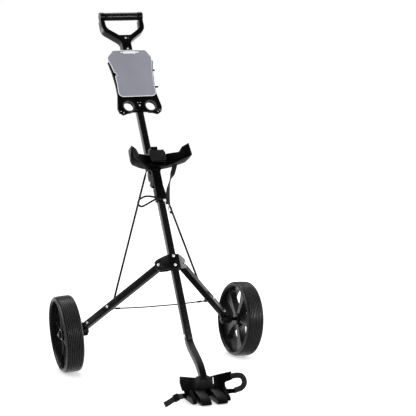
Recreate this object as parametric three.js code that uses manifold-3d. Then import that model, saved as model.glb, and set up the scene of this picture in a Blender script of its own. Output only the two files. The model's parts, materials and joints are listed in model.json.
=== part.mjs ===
// Two-wheel folding golf push cart, unfolded. Millimetres, +Z up.
// Origin: on the floor, midway between the wheels. -Y is the bag side, +X the right wheel.
import * as THREE from 'three';
import Module from 'manifold-3d';
import { mergeVertices } from 'three/addons/utils/BufferGeometryUtils.js';

const wasm = await Module();
wasm.setup();

// ---------------------------------------------------------------- driving dimensions
const DEG = Math.PI / 180;
const GAP = 0.3;                 // clearance between pieces that touch on the real cart

const track = 609;               // wheel centre to wheel centre
const wheelRadius = 125;
const wheelWidth = 58;
const camber = 4 * DEG;          // wheel tops lean outward
const toeOut = 3 * DEG;          // wheel fronts point outward

const tube = 22;                 // square tube used for mast, handle, legs and stem
const tubeWall = 1.6;
const tubeCorner = 3;
const half = tube / 2;

const mastLean = 32.7 * DEG;     // from vertical, top away from the bag side
const mastFoot = [0, -318.7, 151.2];
const mastLength = 640;

const pivotHeight = 555;         // along the mast, from its foot
const pivotBack = 26;            // behind the mast's centre line
const handleTilt = 0.8 * DEG;    // handle leans a little more than the mast
const gripDistance = 622;        // handle pivot to grip
const rodPinRadius = 48.75;      // handle pivot to the rods' upper pin
const rodPinX = 16;

const earTurn = 41 * DEG;        // leg pins are turned this far forward of sideways
const legSplay = 72.7 * DEG;     // angle between a leg and the mast's foot
const legPin = [33.6, 26.2, 265.2];
const legTubeLength = 330;
const legBoltDistance = 227.5;
const legEndRivet = 316;
const rodOffset = 17;            // rods pass this far inside a leg's centre line
const rodRadius = 3;

const rivetHigh = 280;           // hub rivets, along the mast
const rivetLow = 249;

// ---------------------------------------------------------------- materials
const finish = (color, roughness, metalness = 0) => (
  new THREE.MeshStandardMaterial({ color, roughness, metalness }));
const PAINT = finish(0x131313, 0.3, 0.2);
const PLASTIC = finish(0x232121, 0.55);
const RUBBER = finish(0x1a1a1a, 0.8);
const FOAM = finish(0x343434, 0.85);
const STEEL = finish(0xc8c8c8, 0.25, 1);
const WEBBING = finish(0x0c0c0c, 0.9);
const CLEAR = new THREE.MeshStandardMaterial({
  color: 0x9696a2, roughness: 0.2, transparent: true, opacity: 0.6 });
const RED = finish(0xb01818, 0.45);

// ---------------------------------------------------------------- solid helpers
function toSolid(geometry) {
  const g = geometry.clone();
  g.deleteAttribute('normal');
  g.deleteAttribute('uv');
  const merged = mergeVertices(g, 1e-3);
  return new wasm.Manifold(new wasm.Mesh({
    numProp: 3,
    vertProperties: new Float32Array(merged.attributes.position.array),
    triVerts: new Uint32Array(merged.index.array),
  }));
}

function toGeometry(solid) {
  const mesh = solid.getMesh();
  const g = new THREE.BufferGeometry();
  g.setAttribute('position', new THREE.BufferAttribute(new Float32Array(mesh.vertProperties), 3));
  g.setIndex(new THREE.BufferAttribute(new Uint32Array(mesh.triVerts), 1));
  return g;
}

const unite = (...parts) => toGeometry(parts.map(toSolid).reduce((a, b) => a.add(b)));
const cut = (body, ...tools) => toGeometry(
  tools.map(toSolid).reduce((a, b) => a.subtract(b), toSolid(body)));
const common = (a, b) => toGeometry(toSolid(a).intersect(toSolid(b)));

function named(name, geometry, material, parent) {
  const g = geometry.index ? geometry : mergeVertices(geometry, 1e-4);
  const mesh = new THREE.Mesh(g, material);
  mesh.name = name;
  parent.add(mesh);
  return mesh;
}

// ---------------------------------------------------------------- shape helpers
function roundedRect(w, h, r, target = new THREE.Shape()) {
  target.moveTo(-w / 2 + r, -h / 2);
  target.lineTo(w / 2 - r, -h / 2);
  target.absarc(w / 2 - r, -h / 2 + r, r, -Math.PI / 2, 0);
  target.lineTo(w / 2, h / 2 - r);
  target.absarc(w / 2 - r, h / 2 - r, r, 0, Math.PI / 2);
  target.lineTo(-w / 2 + r, h / 2);
  target.absarc(-w / 2 + r, h / 2 - r, r, Math.PI / 2, Math.PI);
  target.lineTo(-w / 2, -h / 2 + r);
  target.absarc(-w / 2 + r, -h / 2 + r, r, Math.PI, Math.PI * 1.5);
  return target;
}

const polygon = (points) => new THREE.Shape(points.map(([x, y]) => new THREE.Vector2(x, y)));

// The right half of an outline, mirrored to make a whole one.
const mirrored = (points) => [
  ...points, ...points.slice().reverse().filter(([x]) => x > 0.01).map(([x, y]) => [-x, y])];

const along = (shape, depth, curveSegments = 2) => (
  new THREE.ExtrudeGeometry(shape, { depth, bevelEnabled: false, curveSegments }));

// A plate drawn in X and Z, whose front face is at y and which runs back by its thickness.
function plateXZ(shape, front, thickness, curveSegments = 6) {
  const g = along(shape, thickness, curveSegments);
  g.rotateX(Math.PI / 2);
  g.translate(0, front + thickness, 0);
  return g;
}

// A plate drawn in Y and Z and extruded along +X.
function plateYZ(shape, thickness) {
  return along(shape, thickness).applyMatrix4(new THREE.Matrix4().makeBasis(
    new THREE.Vector3(0, 1, 0), new THREE.Vector3(0, 0, 1), new THREE.Vector3(1, 0, 0)));
}

function block(w, d, h, x = 0, y = 0, z = 0) {
  return new THREE.BoxGeometry(w, d, h).translate(x, y, z);
}

// A cylinder along an axis vector, centred on a point.
function rod(radius, length, axis, centre, segments = 12) {
  const g = new THREE.CylinderGeometry(radius, radius, length, segments);
  const q = new THREE.Quaternion().setFromUnitVectors(
    new THREE.Vector3(0, 1, 0), new THREE.Vector3(...axis).normalize());
  g.applyQuaternion(q);
  g.translate(...centre);
  return g;
}

// A headed pin along +X: profile points are [x, radius], closed on its axis.
function turned(profile, segments = 12) {
  const points = profile.map(([x, r]) => new THREE.Vector2(r, x));
  const g = new THREE.LatheGeometry(points, segments);
  g.rotateZ(-Math.PI / 2);
  return g;
}

// Rivet or pin along +X from x0 to x1 (inner faces of its heads).
function rivet(x0, x1, r, headR, headH, farHeadR = headR, farHeadH = headH) {
  return turned([
    [x0 - headH, 0], [x0 - headH, headR * 0.6], [x0, headR], [x0, r],
    [x1, r], [x1, farHeadR], [x1 + farHeadH, farHeadR * 0.6], [x1 + farHeadH, 0],
  ]);
}

function squareTube(z0, z1) {
  const shape = roundedRect(tube, tube, tubeCorner);
  const i = half - tubeWall;
  shape.holes.push(new THREE.Path([[-i, -i], [i, -i], [i, i], [-i, i]].map(
    ([x, y]) => new THREE.Vector2(x, y))));
  return along(shape, z1 - z0).translate(0, 0, z0);
}

function sweep(shape, points, steps, curveSegments = 2) {
  const path = new THREE.CatmullRomCurve3(
    points.map((p) => new THREE.Vector3(...p)), false, 'centripetal');
  return new THREE.ExtrudeGeometry(shape, { steps, curveSegments, extrudePath: path });
}

// ---------------------------------------------------------------- frames of the cart
const cart = new THREE.Group();
cart.name = 'golf_push_cart';

// Mast frame: +Z up the mast, +Y behind it, -Y the bag side.
const mast = new THREE.Group();
mast.position.set(...mastFoot);
mast.rotation.x = -mastLean;
cart.add(mast);

// Handle frame: origin on the folding pivot, +Z towards the grip.
const handle = new THREE.Group();
handle.position.set(0, pivotBack, pivotHeight);
handle.rotation.x = -handleTilt;
mast.add(handle);

// Leg frame: origin on the leg's pin, +Z back along the leg to the hub, +X out along the pin.
function legAxes(side) {
  const pin = new THREE.Vector3(side * Math.cos(earTurn), -Math.sin(earTurn), 0);
  const out = new THREE.Vector3(side * Math.sin(earTurn), Math.cos(earTurn), 0);
  const down = out.multiplyScalar(Math.sin(legSplay)).add(
    new THREE.Vector3(0, 0, -Math.cos(legSplay)));
  return { pin, down };
}

function legGroup(side) {
  const { pin, down } = legAxes(side);
  const z = down.clone().negate();
  const y = z.clone().cross(pin);
  const g = new THREE.Group();
  g.quaternion.setFromRotationMatrix(new THREE.Matrix4().makeBasis(pin, y, z));
  g.position.set(side * legPin[0], legPin[1], legPin[2]);
  mast.add(g);
  return g;
}

// Wheel frame: origin at the wheel's centre, +X outward along the axle.
const wheelRise = wheelRadius * Math.cos(camber) + (wheelWidth / 2 - 7) * Math.sin(camber);

function wheelAxis(side) {
  return new THREE.Vector3(side * Math.cos(camber) * Math.cos(toeOut),
    Math.cos(camber) * Math.sin(toeOut), -Math.sin(camber));
}

function wheelGroup(side) {
  const g = new THREE.Group();
  g.quaternion.setFromUnitVectors(new THREE.Vector3(1, 0, 0), wheelAxis(side));
  g.position.set(side * track / 2, 0, wheelRise);
  cart.add(g);
  return g;
}

// Moves geometry drawn in one group's frame into another's.
function carry(geometry, from, to) {
  cart.updateMatrixWorld(true);
  const m = to.matrixWorld.clone().invert().multiply(from.matrixWorld);
  return geometry.clone().applyMatrix4(m);
}

function pointIn(to, from, point) {
  cart.updateMatrixWorld(true);
  return to.worldToLocal(from.localToWorld(new THREE.Vector3(...point)));
}

// ---------------------------------------------------------------- mast and stem
const stemBoltZ = 14;

function mastTube() {
  const holes = [
    rod(3 + GAP, 40, [0, 1, 0], [0, 0, rivetHigh]),
    rod(3 + GAP, 40, [0, 1, 0], [0, 0, rivetLow]),
    rod(3 + GAP, 40, [1, 0, 0], [0, 0, stemBoltZ]),
    rod(2.5 + GAP, 40, [1, 0, 0], [0, 0, pivotHeight + 12]),
    rod(2.5 + GAP, 40, [1, 0, 0], [0, 0, pivotHeight - 12]),
  ];
  named('main_tube', cut(squareTube(0, mastLength), ...holes), PAINT, mast);
}

// The stem bends forward under the mast, then drops steeply into the lower cradle.
const stemRoute = [[0, 0, -1.2], [0, -0.4, -8], [0, -7, -26], [0, -23, -54], [0, -44, -92],
  [0, -53, -120], [0, -56, -150]];

const stemSteps = 14;

function stem() {
  const shape = roundedRect(tube, tube, tubeCorner);
  named('lower_stem', sweep(shape, stemRoute, stemSteps), PAINT, mast);
  const insert = block(tube - 2 * tubeWall - 2 * GAP, tube - 2 * tubeWall - 2 * GAP, 34, 0, 0, 17.3);
  named('stem_insert', cut(insert, rod(3 + GAP, 40, [1, 0, 0], [0, 0, stemBoltZ])), PLASTIC, mast);
  const bolt = rivet(-half - GAP, half + GAP, 3, 6.5, 3.4).translate(0, 0, stemBoltZ);
  named('stem_bolt', bolt, STEEL, mast);
}

// ---------------------------------------------------------------- hub bracket
const sheet = 2.5;
const hubTop = 286;
const hubBottom = 237;

// Where a line offset from the leg's centre along its pin meets the depth y.
function earPoint(offset, reach) {
  return [legPin[0] + offset * Math.cos(earTurn) + reach * Math.sin(earTurn),
    legPin[1] - offset * Math.sin(earTurn) + reach * Math.cos(earTurn)];
}
const reachAt = (offset, y) => (y - legPin[1] + offset * Math.sin(earTurn)) / Math.cos(earTurn);

function angledBracket(inner, outer, webInner, webOuter, earReach) {
  const outline = mirrored([
    earPoint(inner, reachAt(inner, webInner)), earPoint(inner, earReach),
    earPoint(outer, earReach), earPoint(outer, reachAt(outer, webOuter)),
  ]);
  return along(polygon(outline), hubTop - hubBottom).translate(0, 0, hubBottom);
}

function hub() {
  const face = half + GAP;
  const front = angledBracket(face + GAP, face + GAP + sheet, -face, -face - sheet, 13);
  const rear = angledBracket(-face - GAP, -face - GAP - sheet, face, face + sheet, 13);
  const ear = [[0, hubTop], [30, hubTop], [46, hubTop - 2.5], [56, legPin[2] + 11],
    [60, legPin[2]], [56, legPin[2] - 10]];
  const frontShape = mirrored([...ear, [42, 246], [24, hubBottom + 2], [0, hubBottom]]);
  const rearShape = mirrored([...ear, [40, 252], [24, 247], [14, 243], [0, 243]]);
  const holes = [
    rod(3 + GAP, 40, [0, 1, 0], [0, 0, rivetHigh]), rod(3 + GAP, 40, [0, 1, 0], [0, 0, rivetLow]),
    ...[-1, 1].map((s) => rod(4 + GAP, 50, legAxes(s).pin.toArray(),
      [s * legPin[0], legPin[1], legPin[2]])),
  ];
  named('hub_bracket_front', cut(common(front, plateXZ(polygon(frontShape), -40, 120)), ...holes), PAINT, mast);
  named('hub_bracket_rear', cut(common(rear, plateXZ(polygon(rearShape), -40, 120)), ...holes), PAINT, mast);
  const grip = face + sheet + GAP;
  [['upper', rivetHigh], ['lower', rivetLow]].forEach(([where, z]) => {
    const g = rivet(-grip, grip, 3, 5, 2.4, 3.9, 1.5).rotateZ(Math.PI / 2).translate(0, 0, z);
    named(`hub_rivet_${where}`, g, STEEL, mast);
  });
}

function legPinSolid(side, leg) {
  const reach = half + 3 * GAP + sheet;
  const g = rivet(-reach, reach, 4, 6, 1.0, 7, 2.6);
  named(`leg_pin_${side}`, carry(g, leg, mast), STEEL, mast);
}

// ---------------------------------------------------------------- upper cradle
const sleeve = half + GAP;
const cradleZ = 606;             // middle of the arms, along the mast
const padFront = -60;            // the bag rests here, well in front of the mast
const padWidth = 54;

// Plan of the arms (X across, Y depth): forward and out from the middle block.
function armPlan() {
  return mirrored([[0, -38], [30, -38], [40, -45], [72, -77], [97, -98.5], [104.5, -91],
    [101, -66], [90, -47], [60, -26], [36, -15], [18, -9], [0, -9]]);
}

function cradle() {
  const arms = along(polygon(armPlan()), 60).translate(0, 0, cradleZ - 24);
  const view = polygon(mirrored([[0, cradleZ + 20], [40, cradleZ + 20], [70, cradleZ + 10],
    [78, cradleZ + 24], [98, cradleZ + 29], [105, cradleZ - 10], [92, cradleZ - 17],
    [46, cradleZ - 20], [0, cradleZ - 20]]));
  const armBody = common(arms, plateXZ(view, -130, 200));
  const neck = plateXZ(polygon(mirrored([[0, cradleZ], [23, cradleZ], [19, cradleZ - 20],
    [14.2, cradleZ - 30], [14.2, 477], [0, 477]])), -14.5, 25.5);
  const head = block(padWidth - 6, 11 - padFront - 3, 42, 0, (padFront + 3 + 11) / 2, cradleZ + 8);
  const top = block(23, 30, 34, 0, -22, cradleZ + 33);
  const underCut = block(34, 30, 10, 0, padFront + 21, cradleZ - 12);
  const bore = along(roundedRect(2 * sleeve, 2 * sleeve, tubeCorner + GAP), 300).translate(0, 0, 450);
  const rearSlot = block(2 * sleeve, 20, 400, 0, half + 3, 600);
  const clevisRoom = block(80, 40, 62, 0, 12.6, pivotHeight);
  const body = unite(armBody, neck, head, top);
  named('upper_cradle', cut(body, bore, rearSlot, clevisRoom, underCut), PLASTIC, mast);
  const w = padWidth / 2;
  const padFace = polygon(mirrored([[0, 20], [w - 8, 20], [w, 12], [w, -12], [w - 3, -17], [0, -17]]));
  const pad = plateXZ(padFace, padFront, 3 - GAP).translate(0, 0, cradleZ + 8);
  named('cradle_pad', pad, RUBBER, mast);
  const cap = unite(block(tube - 2, tube - 2, 6, 0, 0, mastLength + 3 + GAP),
    block(18, 18, 14, 0, 0, mastLength - 5));
  named('main_tube_cap', cap, PLASTIC, mast);
}

// ---------------------------------------------------------------- handle pivot clevis
function clevis() {
  const back = half + GAP;
  const side = polygon([[back, -26], [back, 38], [pivotBack + 6, 38], [pivotBack + 10, 30],
    [pivotBack + 10, 2], [pivotBack + 6, -9], [back + 8, -22]]);
  const cheek = (x) => plateYZ(side, 2.5).translate(x, 0, pivotHeight);
  const web = block(2 * (half + 3.2), 1.6, 52, 0, back + 0.8, pivotHeight);
  const wrap = (x) => block(2.5, 20, 44, x, back - 8, pivotHeight);
  const x0 = half + 0.7;
  const body = unite(cheek(x0), cheek(-x0 - 2.5), web, wrap(x0 + 1.25), wrap(-x0 - 1.25));
  const holes = [
    rod(4 + GAP, 60, [1, 0, 0], [0, pivotBack, pivotHeight]),
    rod(2.5 + GAP, 60, [1, 0, 0], [0, 0, pivotHeight + 12]),
    rod(2.5 + GAP, 60, [1, 0, 0], [0, 0, pivotHeight - 12]),
  ];
  named('handle_clevis', cut(body, ...holes), PAINT, mast);
  const grip = x0 + 2.5 + GAP;
  named('handle_pivot_pin', rivet(-grip, grip, 4, 6, 2).translate(0, pivotBack, pivotHeight),
    STEEL, mast);
  [['upper', 12], ['lower', -12]].forEach(([where, dz]) => {
    named(`clevis_rivet_${where}`, rivet(-grip, grip, 2.5, 4, 1.6)
      .translate(0, 0, pivotHeight + dz), STEEL, mast);
  });
}

// ---------------------------------------------------------------- lower cradle
// Lower cradle frame: origin at the stem's end, +Z up along the cradle wall.
const lower = new THREE.Group();
lower.position.set(0, -439, 62);
lower.rotation.x = -14 * DEG;
cart.add(lower);

const lowerPlan = mirrored([[0, -9], [13.9, -9], [24, -9.2], [50, -13], [82.5, -33], [101, -44],
  [103, -38], [84, -25.5], [54, -6], [24, -1], [22, 13.5], [0, 13.5]]);

// Each side has a wing and, under it, a strap shelf. The left wing is deeper and leaves only a slit.
function lowerCradle() {
  const wall = along(polygon(lowerPlan), 90).translate(0, 0, -57);
  const view = polygon([[0, 4], [16, 4], [18, 0.5], [24, 0.5], [82.5, 10], [83.5, -15],
    [64, -22], [64, -42], [92, -43.5], [92, -57], [66, -57], [66, -51], [-66, -51], [-66, -57],
    [-92, -57], [-92, -43.5], [-70, -42], [-72, -36], [-79, -34], [-87, -10], [-84, 10],
    [-24, 0.5], [-18, 0.5], [-16, 4]]);
  const body = common(wall, plateXZ(view, -80, 160));
  const bore = carry(sweep(roundedRect(tube + 2 * GAP, tube + 2 * GAP, tubeCorner + GAP),
    stemRoute.map(([x, y, z], i) => [x, y, i ? z : 5]), stemSteps), mast, lower);
  const slot = block(4, 60, 20, 31, -20, -13);
  named('lower_cradle', cut(body, bore, slot), PLASTIC, lower);
  foot();
}

// Four curved toes reach forward from under the wall and stand on the floor.
function foot() {
  const tilt = 14 * DEG;
  const floorAt = (y) => (y * Math.sin(tilt) - 61.7) / Math.cos(tilt);
  const top = -51 - GAP;
  const toe = (x, w, reach, back) => {
    const tip = -14 - reach;
    const side = polygon([[14, top], [back, top], [back, -36], [back - 5, -34], [back - 10, -36],
      [tip + 16, floorAt(tip) + 27], [tip + 5, floorAt(tip) + 17], [tip, floorAt(tip) + 9],
      [tip + 3, floorAt(tip) + 3], [tip + 12, floorAt(tip + 12)], [14, floorAt(14)]]);
    return plateYZ(side, w).translate(x - w / 2, 0, 0);
  };
  const bridge = block(126, 22, 8, 0, 2, top - 4);
  const inner = [-26, 26].map((x) => toe(x, 31, 77, -14.5));
  const outer = [-55, 55].map((x) => toe(x, 12, 52, -25));
  const body = unite(bridge, ...inner, ...outer);
  named('lower_foot', body, PLASTIC, lower);
}

// ---------------------------------------------------------------- straps (soft)
const strapWidth = 15;
const strapThick = 2.4;

// Webbing along a route; its width stands across the route, sideways or upright.
function strapSolid(points, steps, w, upright, extra = 0) {
  const t = (strapThick + extra) / 2;
  const [a, b] = upright ? [w / 2, t] : [t, w / 2];
  return sweep(polygon([[-a, -b], [a, -b], [a, b], [-a, b]]), points, steps);
}

function strap(name, points, parent, steps, w = strapWidth, upright = false) {
  named(name, strapSolid(points, steps, w, upright), WEBBING, parent);
}

function straps() {
  strap('upper_strap', [[54, -54, 584], [46, -38, 558], [37, -24, 538], [30, -8, 512],
    [29, 14, 480], [30, 17, 473]], mast, 20, 9);
  const ring = new THREE.TorusGeometry(8, 1.5, 6, 18).rotateX(Math.PI / 2).rotateY(0.5)
    .scale(0.75, 1, 1.4).translate(36, 23, 457);
  named('strap_ring', ring, STEEL, mast);
  strap('strap_loop', [[-16, -6, 489], [-30, -1, 496], [-50, 2, 498], [-70, 4, 488], [-77, 3, 473],
    [-69, 0, 463], [-52, -6, 467], [-34, -13, 474], [-17, -16.6, 480], [1, -17, 476]], mast, 40, 6);
  named('strap_hook', block(9, 3, 8, 7.5, -17, 473), STEEL, mast);
  strap('lower_strap_right', [[84.4, -36, -5], [97, -38, -4], [110, -39, -8], [119, -39, -18],
    [119, -39, -31], [109, -39, -42], [94, -40, -47]], lower, 26, strapWidth, true);
  const tail = [[-93.5, -46, -49], [-104, -51, -50], [-120, -56, -56], [-138, -60, -64],
    [-151, -62, -69]];
  strap('lower_strap_left', tail, lower, 20, strapWidth, true);
  const buckle = block(16, 8, 22).rotateY(-0.3).rotateZ(0.35).translate(-110, -53.2, -52);
  named('strap_buckle', cut(buckle, strapSolid(tail, 20, strapWidth + 1, true, 1)), PLASTIC, lower);
}

function stemPlug() {
  const plug = block(20, 3, 20).rotateY(Math.PI / 4).translate(0, 16, -24);
  named('stem_badge', plug, RED, lower);
}

// ---------------------------------------------------------------- handle
const yokeFront = -14.4;         // in the handle frame
const gripForward = 10;          // the grip's centre is in front of the tube's
const gripHalf = 75;

function handleTube() {
  const holes = [
    rod(4 + GAP, 40, [1, 0, 0], [0, 0, 0]),
    rod(2.5 + GAP, 40, [1, 0, 0], [0, 0, rodPinRadius]),
    rod(2.5 + GAP, 60, [0, 1, 0], [0, 0, gripDistance - 84]),
    rod(2.5 + GAP, 60, [0, 1, 0], [0, 0, gripDistance - 126]),
    rod(2.5 + GAP, 60, [0, 1, 0], [0, 0, consoleZ + 2]),
  ];
  const room = unite(rod(12.4, 60, [1, 0, 0], [0, 0, 0], 40), block(60, 60, 700, 0, 0, 350));
  const body = common(squareTube(-11, gripDistance - 72), room);
  named('handle_tube', cut(body, ...holes), PAINT, handle);
  const pin = rivet(-rodPinX - 5, rodPinX + 5, 2.5, 4, 1.4).translate(0, 0, rodPinRadius);
  named('rod_pin', pin, STEEL, handle);
}

// The yoke is a channel: a face plate with walls behind it, open at the back.
function yokeOutline() {
  const g = gripDistance;
  const s = new THREE.Shape();
  s.moveTo(-16, g - 134);
  s.lineTo(16, g - 134);
  s.lineTo(16.5, g - 103);
  s.quadraticCurveTo(17, g - 96, 27, g - 88);
  s.lineTo(62, g - 62);
  s.quadraticCurveTo(75, g - 52, gripHalf, g - 36);
  s.lineTo(gripHalf, g - 8);
  s.lineTo(62, g - 8);
  s.lineTo(60, g - 34);
  s.quadraticCurveTo(58, g - 45, 48, g - 52);
  s.lineTo(20, g - 72);
  s.lineTo(-20, g - 72);
  s.lineTo(-48, g - 52);
  s.quadraticCurveTo(-58, g - 45, -60, g - 34);
  s.lineTo(-62, g - 8);
  s.lineTo(-gripHalf, g - 8);
  s.lineTo(-gripHalf, g - 36);
  s.quadraticCurveTo(-75, g - 52, -62, g - 62);
  s.lineTo(-27, g - 88);
  s.quadraticCurveTo(-17, g - 96, -16.5, g - 103);
  return s;
}

function yoke() {
  const g = gripDistance;
  const depth = 28;
  const body = plateXZ(yokeOutline(), yokeFront, depth);
  const boss = (x) => rod(15, 13, [1, 0, 0], [x, -gripForward, g + 2], 28);
  const socket = block(2 * sleeve, 2 * sleeve, 80, 0, 0, g - 72 - 40 + GAP);
  const backSlot = block(2 * sleeve, 20, 100, 0, half + 6, g - 126);
  const hollow = (s) => {
    const inner = polygon([[s * 26, g - 82], [s * 60, g - 57], [s * 70, g - 44], [s * 70, g - 24],
      [s * 65, g - 24], [s * 62, g - 42], [s * 50, g - 56], [s * 24, g - 75]]);
    return plateXZ(inner, yokeFront + 3, depth);
  };
  const holes = [84, 126].map((d) => rod(2.5 + GAP, 60, [0, 1, 0], [0, 0, g - d]));
  const arms = unite(body, boss(gripHalf - 6.5), boss(6.5 - gripHalf));
  named('handle_yoke', cut(arms, socket, backSlot, hollow(1), hollow(-1), ...holes), PLASTIC, handle);
  const grip = turned([[-61.4, 0], [-61.4, 12.6], [-59.5, 14], [59.5, 14], [61.4, 12.6], [61.4, 0]], 28);
  named('handle_grip', grip.translate(0, -gripForward, g + 2), RUBBER, handle);
  [['upper', 84], ['lower', 126]].forEach(([where, d]) => {
    const r = rivet(yokeFront - GAP, half + GAP, 2.5, 4.5, 2).rotateZ(Math.PI / 2);
    named(`yoke_rivet_${where}`, r.translate(0, 0, g - d), STEEL, handle);
  });
}

// ---------------------------------------------------------------- console and scorecard plate
const consoleFront = -half - GAP - 4;
const consoleZ = 277;            // ring holes, in the handle frame
const ringX = 38.6;
const ringHole = 18;

function consoleOutline(inset = 0) {
  const right = [[0, 459], [66, 459], [79, 446], [72, 408], [68, 360], [68, 322], [77, 272],
    [73, 256], [60, 247], [34, 256], [0, 258]];
  const shrink = ([x, z]) => [x * (1 - inset / 75), 353 + (z - 353) * (1 - inset / 105)];
  return polygon(mirrored(right.map(shrink)));
}

function consoleTray() {
  const face = plateXZ(consoleOutline(), consoleFront, 3.6);
  const rim = cut(plateXZ(consoleOutline(), consoleFront, 9),
    plateXZ(consoleOutline(2.4), consoleFront - 1, 20));
  const notch = block(2 * sleeve, 40, 400, 0, -half - GAP + 20, 353);
  const ring = (x) => rod(ringHole + 3.5, 15, [0, 1, 0], [x, consoleFront + 6.5, consoleZ], 28);
  const bore = (x) => rod(ringHole, 60, [0, 1, 0], [x, consoleFront, consoleZ], 28);
  const hole = rod(2.5 + GAP, 60, [0, 1, 0], [0, 0, consoleZ + 2]);
  const body = unite(face, rim, ring(-ringX), ring(ringX));
  named('console', cut(body, bore(-ringX), bore(ringX), notch, hole), PLASTIC, handle);
  named('console_screw', rivet(consoleFront - GAP, half + GAP, 2.5, 4.5, 2).rotateZ(Math.PI / 2)
    .translate(0, 0, consoleZ + 2), STEEL, handle);
}

const plateFront = consoleFront - 4;

function scorePlate() {
  const s = new THREE.Shape();
  s.moveTo(0, 487);
  s.lineTo(53, 487);
  s.quadraticCurveTo(58, 487, 62, 481);
  s.lineTo(73, 462);
  s.quadraticCurveTo(75, 458, 73, 448);
  s.quadraticCurveTo(66, 400, 63.5, 360);
  s.lineTo(65, 330);
  s.quadraticCurveTo(65, 314, 50, 312);
  s.lineTo(-50, 312);
  s.quadraticCurveTo(-65, 314, -65, 330);
  s.lineTo(-63.5, 360);
  s.quadraticCurveTo(-63.8, 375, -65, 388);
  s.absarc(-66, 396, 8, -Math.PI / 2, Math.PI / 2);
  s.quadraticCurveTo(-70, 430, -78, 448);
  s.quadraticCurveTo(-81, 458, -79, 462);
  s.lineTo(-62, 481);
  s.quadraticCurveTo(-58, 487, -53, 487);
  named('scorecard_plate', plateXZ(s, plateFront, 2), CLEAR, handle);
}

// The plate's clip is a round bar across its top, which it hinges on.
function plateHinge() {
  const front = plateFront - GAP;
  const bar = block(42, 3.4, 9, 0, front - 1.7, 478);
  const barrel = rod(2.2, 66, [1, 0, 0], [0, front - 2.3, 478], 16);
  named('plate_clip_bar', unite(bar, barrel), STEEL, handle);
  const behind = consoleFront + 9 + GAP + 3;
  const peg = (z) => rod(3, 16, [1, 0, 0], [75, behind, z], 12);
  const spine = block(6, 6, 70, 65, behind, 385);
  named('pencil_clip', unite(spine, peg(417), peg(353)), PLASTIC, handle);
}

// ---------------------------------------------------------------- legs, wheels and rods
function legParts(side, s, leg, wheel) {
  const bolt = -legBoltDistance;
  const holes = [
    rod(4 + GAP, 40, [1, 0, 0], [0, 0, 0]), rod(3 + GAP, 40, [1, 0, 0], [0, 0, bolt]),
    rod(2.5 + GAP, 40, [1, 0, 0], [0, 0, -legEndRivet]),
  ];
  named(`leg_tube_${side}`, cut(squareTube(-legTubeLength, 11), ...holes), PAINT, leg);
  const cap = unite(block(tube - 1, tube - 1, 2.5, 0, 0, 12.6), block(18, 18, 6, 0, 0, 8.6));
  named(`leg_cap_${side}`, cap, PLASTIC, leg);
  const boltBody = rivet(-half - GAP, half + GAP, 3, 5.5, 1.8, 6.5, 4).translate(0, 0, bolt);
  named(`leg_bolt_${side}`, boltBody, STEEL, leg);
  named(`leg_end_rivet_${side}`, rivet(-half - GAP, half + GAP, 2.5, 4.5, 1.8)
    .translate(0, 0, -legEndRivet), STEEL, leg);
  axleEnd(side, s, leg, wheel);
}

function axleEnd(side, s, leg, wheel) {
  const end = -legTubeLength - GAP;
  const tongue = block(18, 18, 40, 0, 0, end + 20 - 6);
  const head = block(24, 24, 12, 0, 0, end - 6);
  const near = pointIn(wheel, leg, [0, 0, end - 6]).x;
  const lug = carry(rod(15, 30, [1, 0, 0], [near + 8, 0, 0], 24), wheel, leg);
  const bridge = (() => {
    const a = pointIn(leg, wheel, [near + 6, 0, 0]);
    const b = new THREE.Vector3(0, 0, end - 6);
    const d = a.clone().sub(b);
    const mid = a.clone().add(b).multiplyScalar(0.5);
    return rod(11, d.length(), d.toArray(), mid.toArray(), 16);
  })();
  const bore = carry(rod(6 + GAP, 120, [1, 0, 0], [near, 0, 0], 24), wheel, leg);
  const rivetHole = rod(2.5 + GAP, 40, [1, 0, 0], [0, 0, -legEndRivet]);
  const x0 = near - 7 - GAP;
  const headRoom = carry(rod(9.6, 30, [1, 0, 0], [x0 - 15 + GAP, 0, 0], 24), wheel, leg);
  const tubeRoom = block(tube + 2 * GAP, tube + 2 * GAP, 60, 0, 0, end + 30);
  const outside = cut(unite(head, bridge, lug), tubeRoom);
  named(`axle_block_${side}`, cut(unite(tongue, outside), bore, headRoom, rivetHole), PLASTIC, leg);
  const axle = turned([[x0 - 5, 0], [x0 - 5, 8], [x0, 9], [x0, 6], [20, 6], [20, 0]], 24);
  named(`axle_${side}`, carry(axle, wheel, leg), STEEL, leg);
}

const rimRadius = 115.5;

function tyre() {
  const w = wheelWidth / 2;
  const R = wheelRadius;
  const r = rimRadius + GAP;
  return turned([[-w, r], [-w, R - 7], [-w + 3, R - 2.5], [-w + 9, R], [w - 9, R],
    [w - 3, R - 2.5], [w, R - 7], [w, r], [-w, r]], 44);
}

const hubRadius = 21;
const spokes = 5;

function rim() {
  const w = wheelWidth / 2;
  const r = rimRadius;
  const barrel = turned([[-w - 1.5, r - 3], [-w - 1.5, r], [w + 1.5, r], [w + 1.5, r - 3],
    [w - 4, r - 4], [0, r - 8], [-w + 4, r - 4], [-w - 1.5, r - 3]], 44);
  const boss = rod(hubRadius, 40, [1, 0, 0], [0, 0, 0], 28);
  const arms = [];
  for (let k = 0; k < spokes; k += 1) {
    const flare = polygon([[-9, 14], [9, 14], [27, r - 5], [-27, r - 5]]);
    arms.push(plateYZ(flare, 12).translate(-6, 0, 0).rotateX(k * 2 * Math.PI / spokes));
  }
  const bore = rod(6 + GAP, 80, [1, 0, 0], [0, 0, 0], 24);
  const recess = rod(13, 12, [1, 0, 0], [20, 0, 0], 24);
  return cut(unite(barrel, boss, ...arms), bore, recess);
}

function wheelParts(side, wheel) {
  named(`tyre_${side}`, tyre(), FOAM, wheel);
  named(`rim_${side}`, rim(), PLASTIC, wheel);
  const cap = turned([[20.8, 0], [20.8, 12.2], [23, 12.2], [27, 8], [28, 0]], 20);
  named(`hub_cap_${side}`, cap, PLASTIC, wheel);
}

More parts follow.
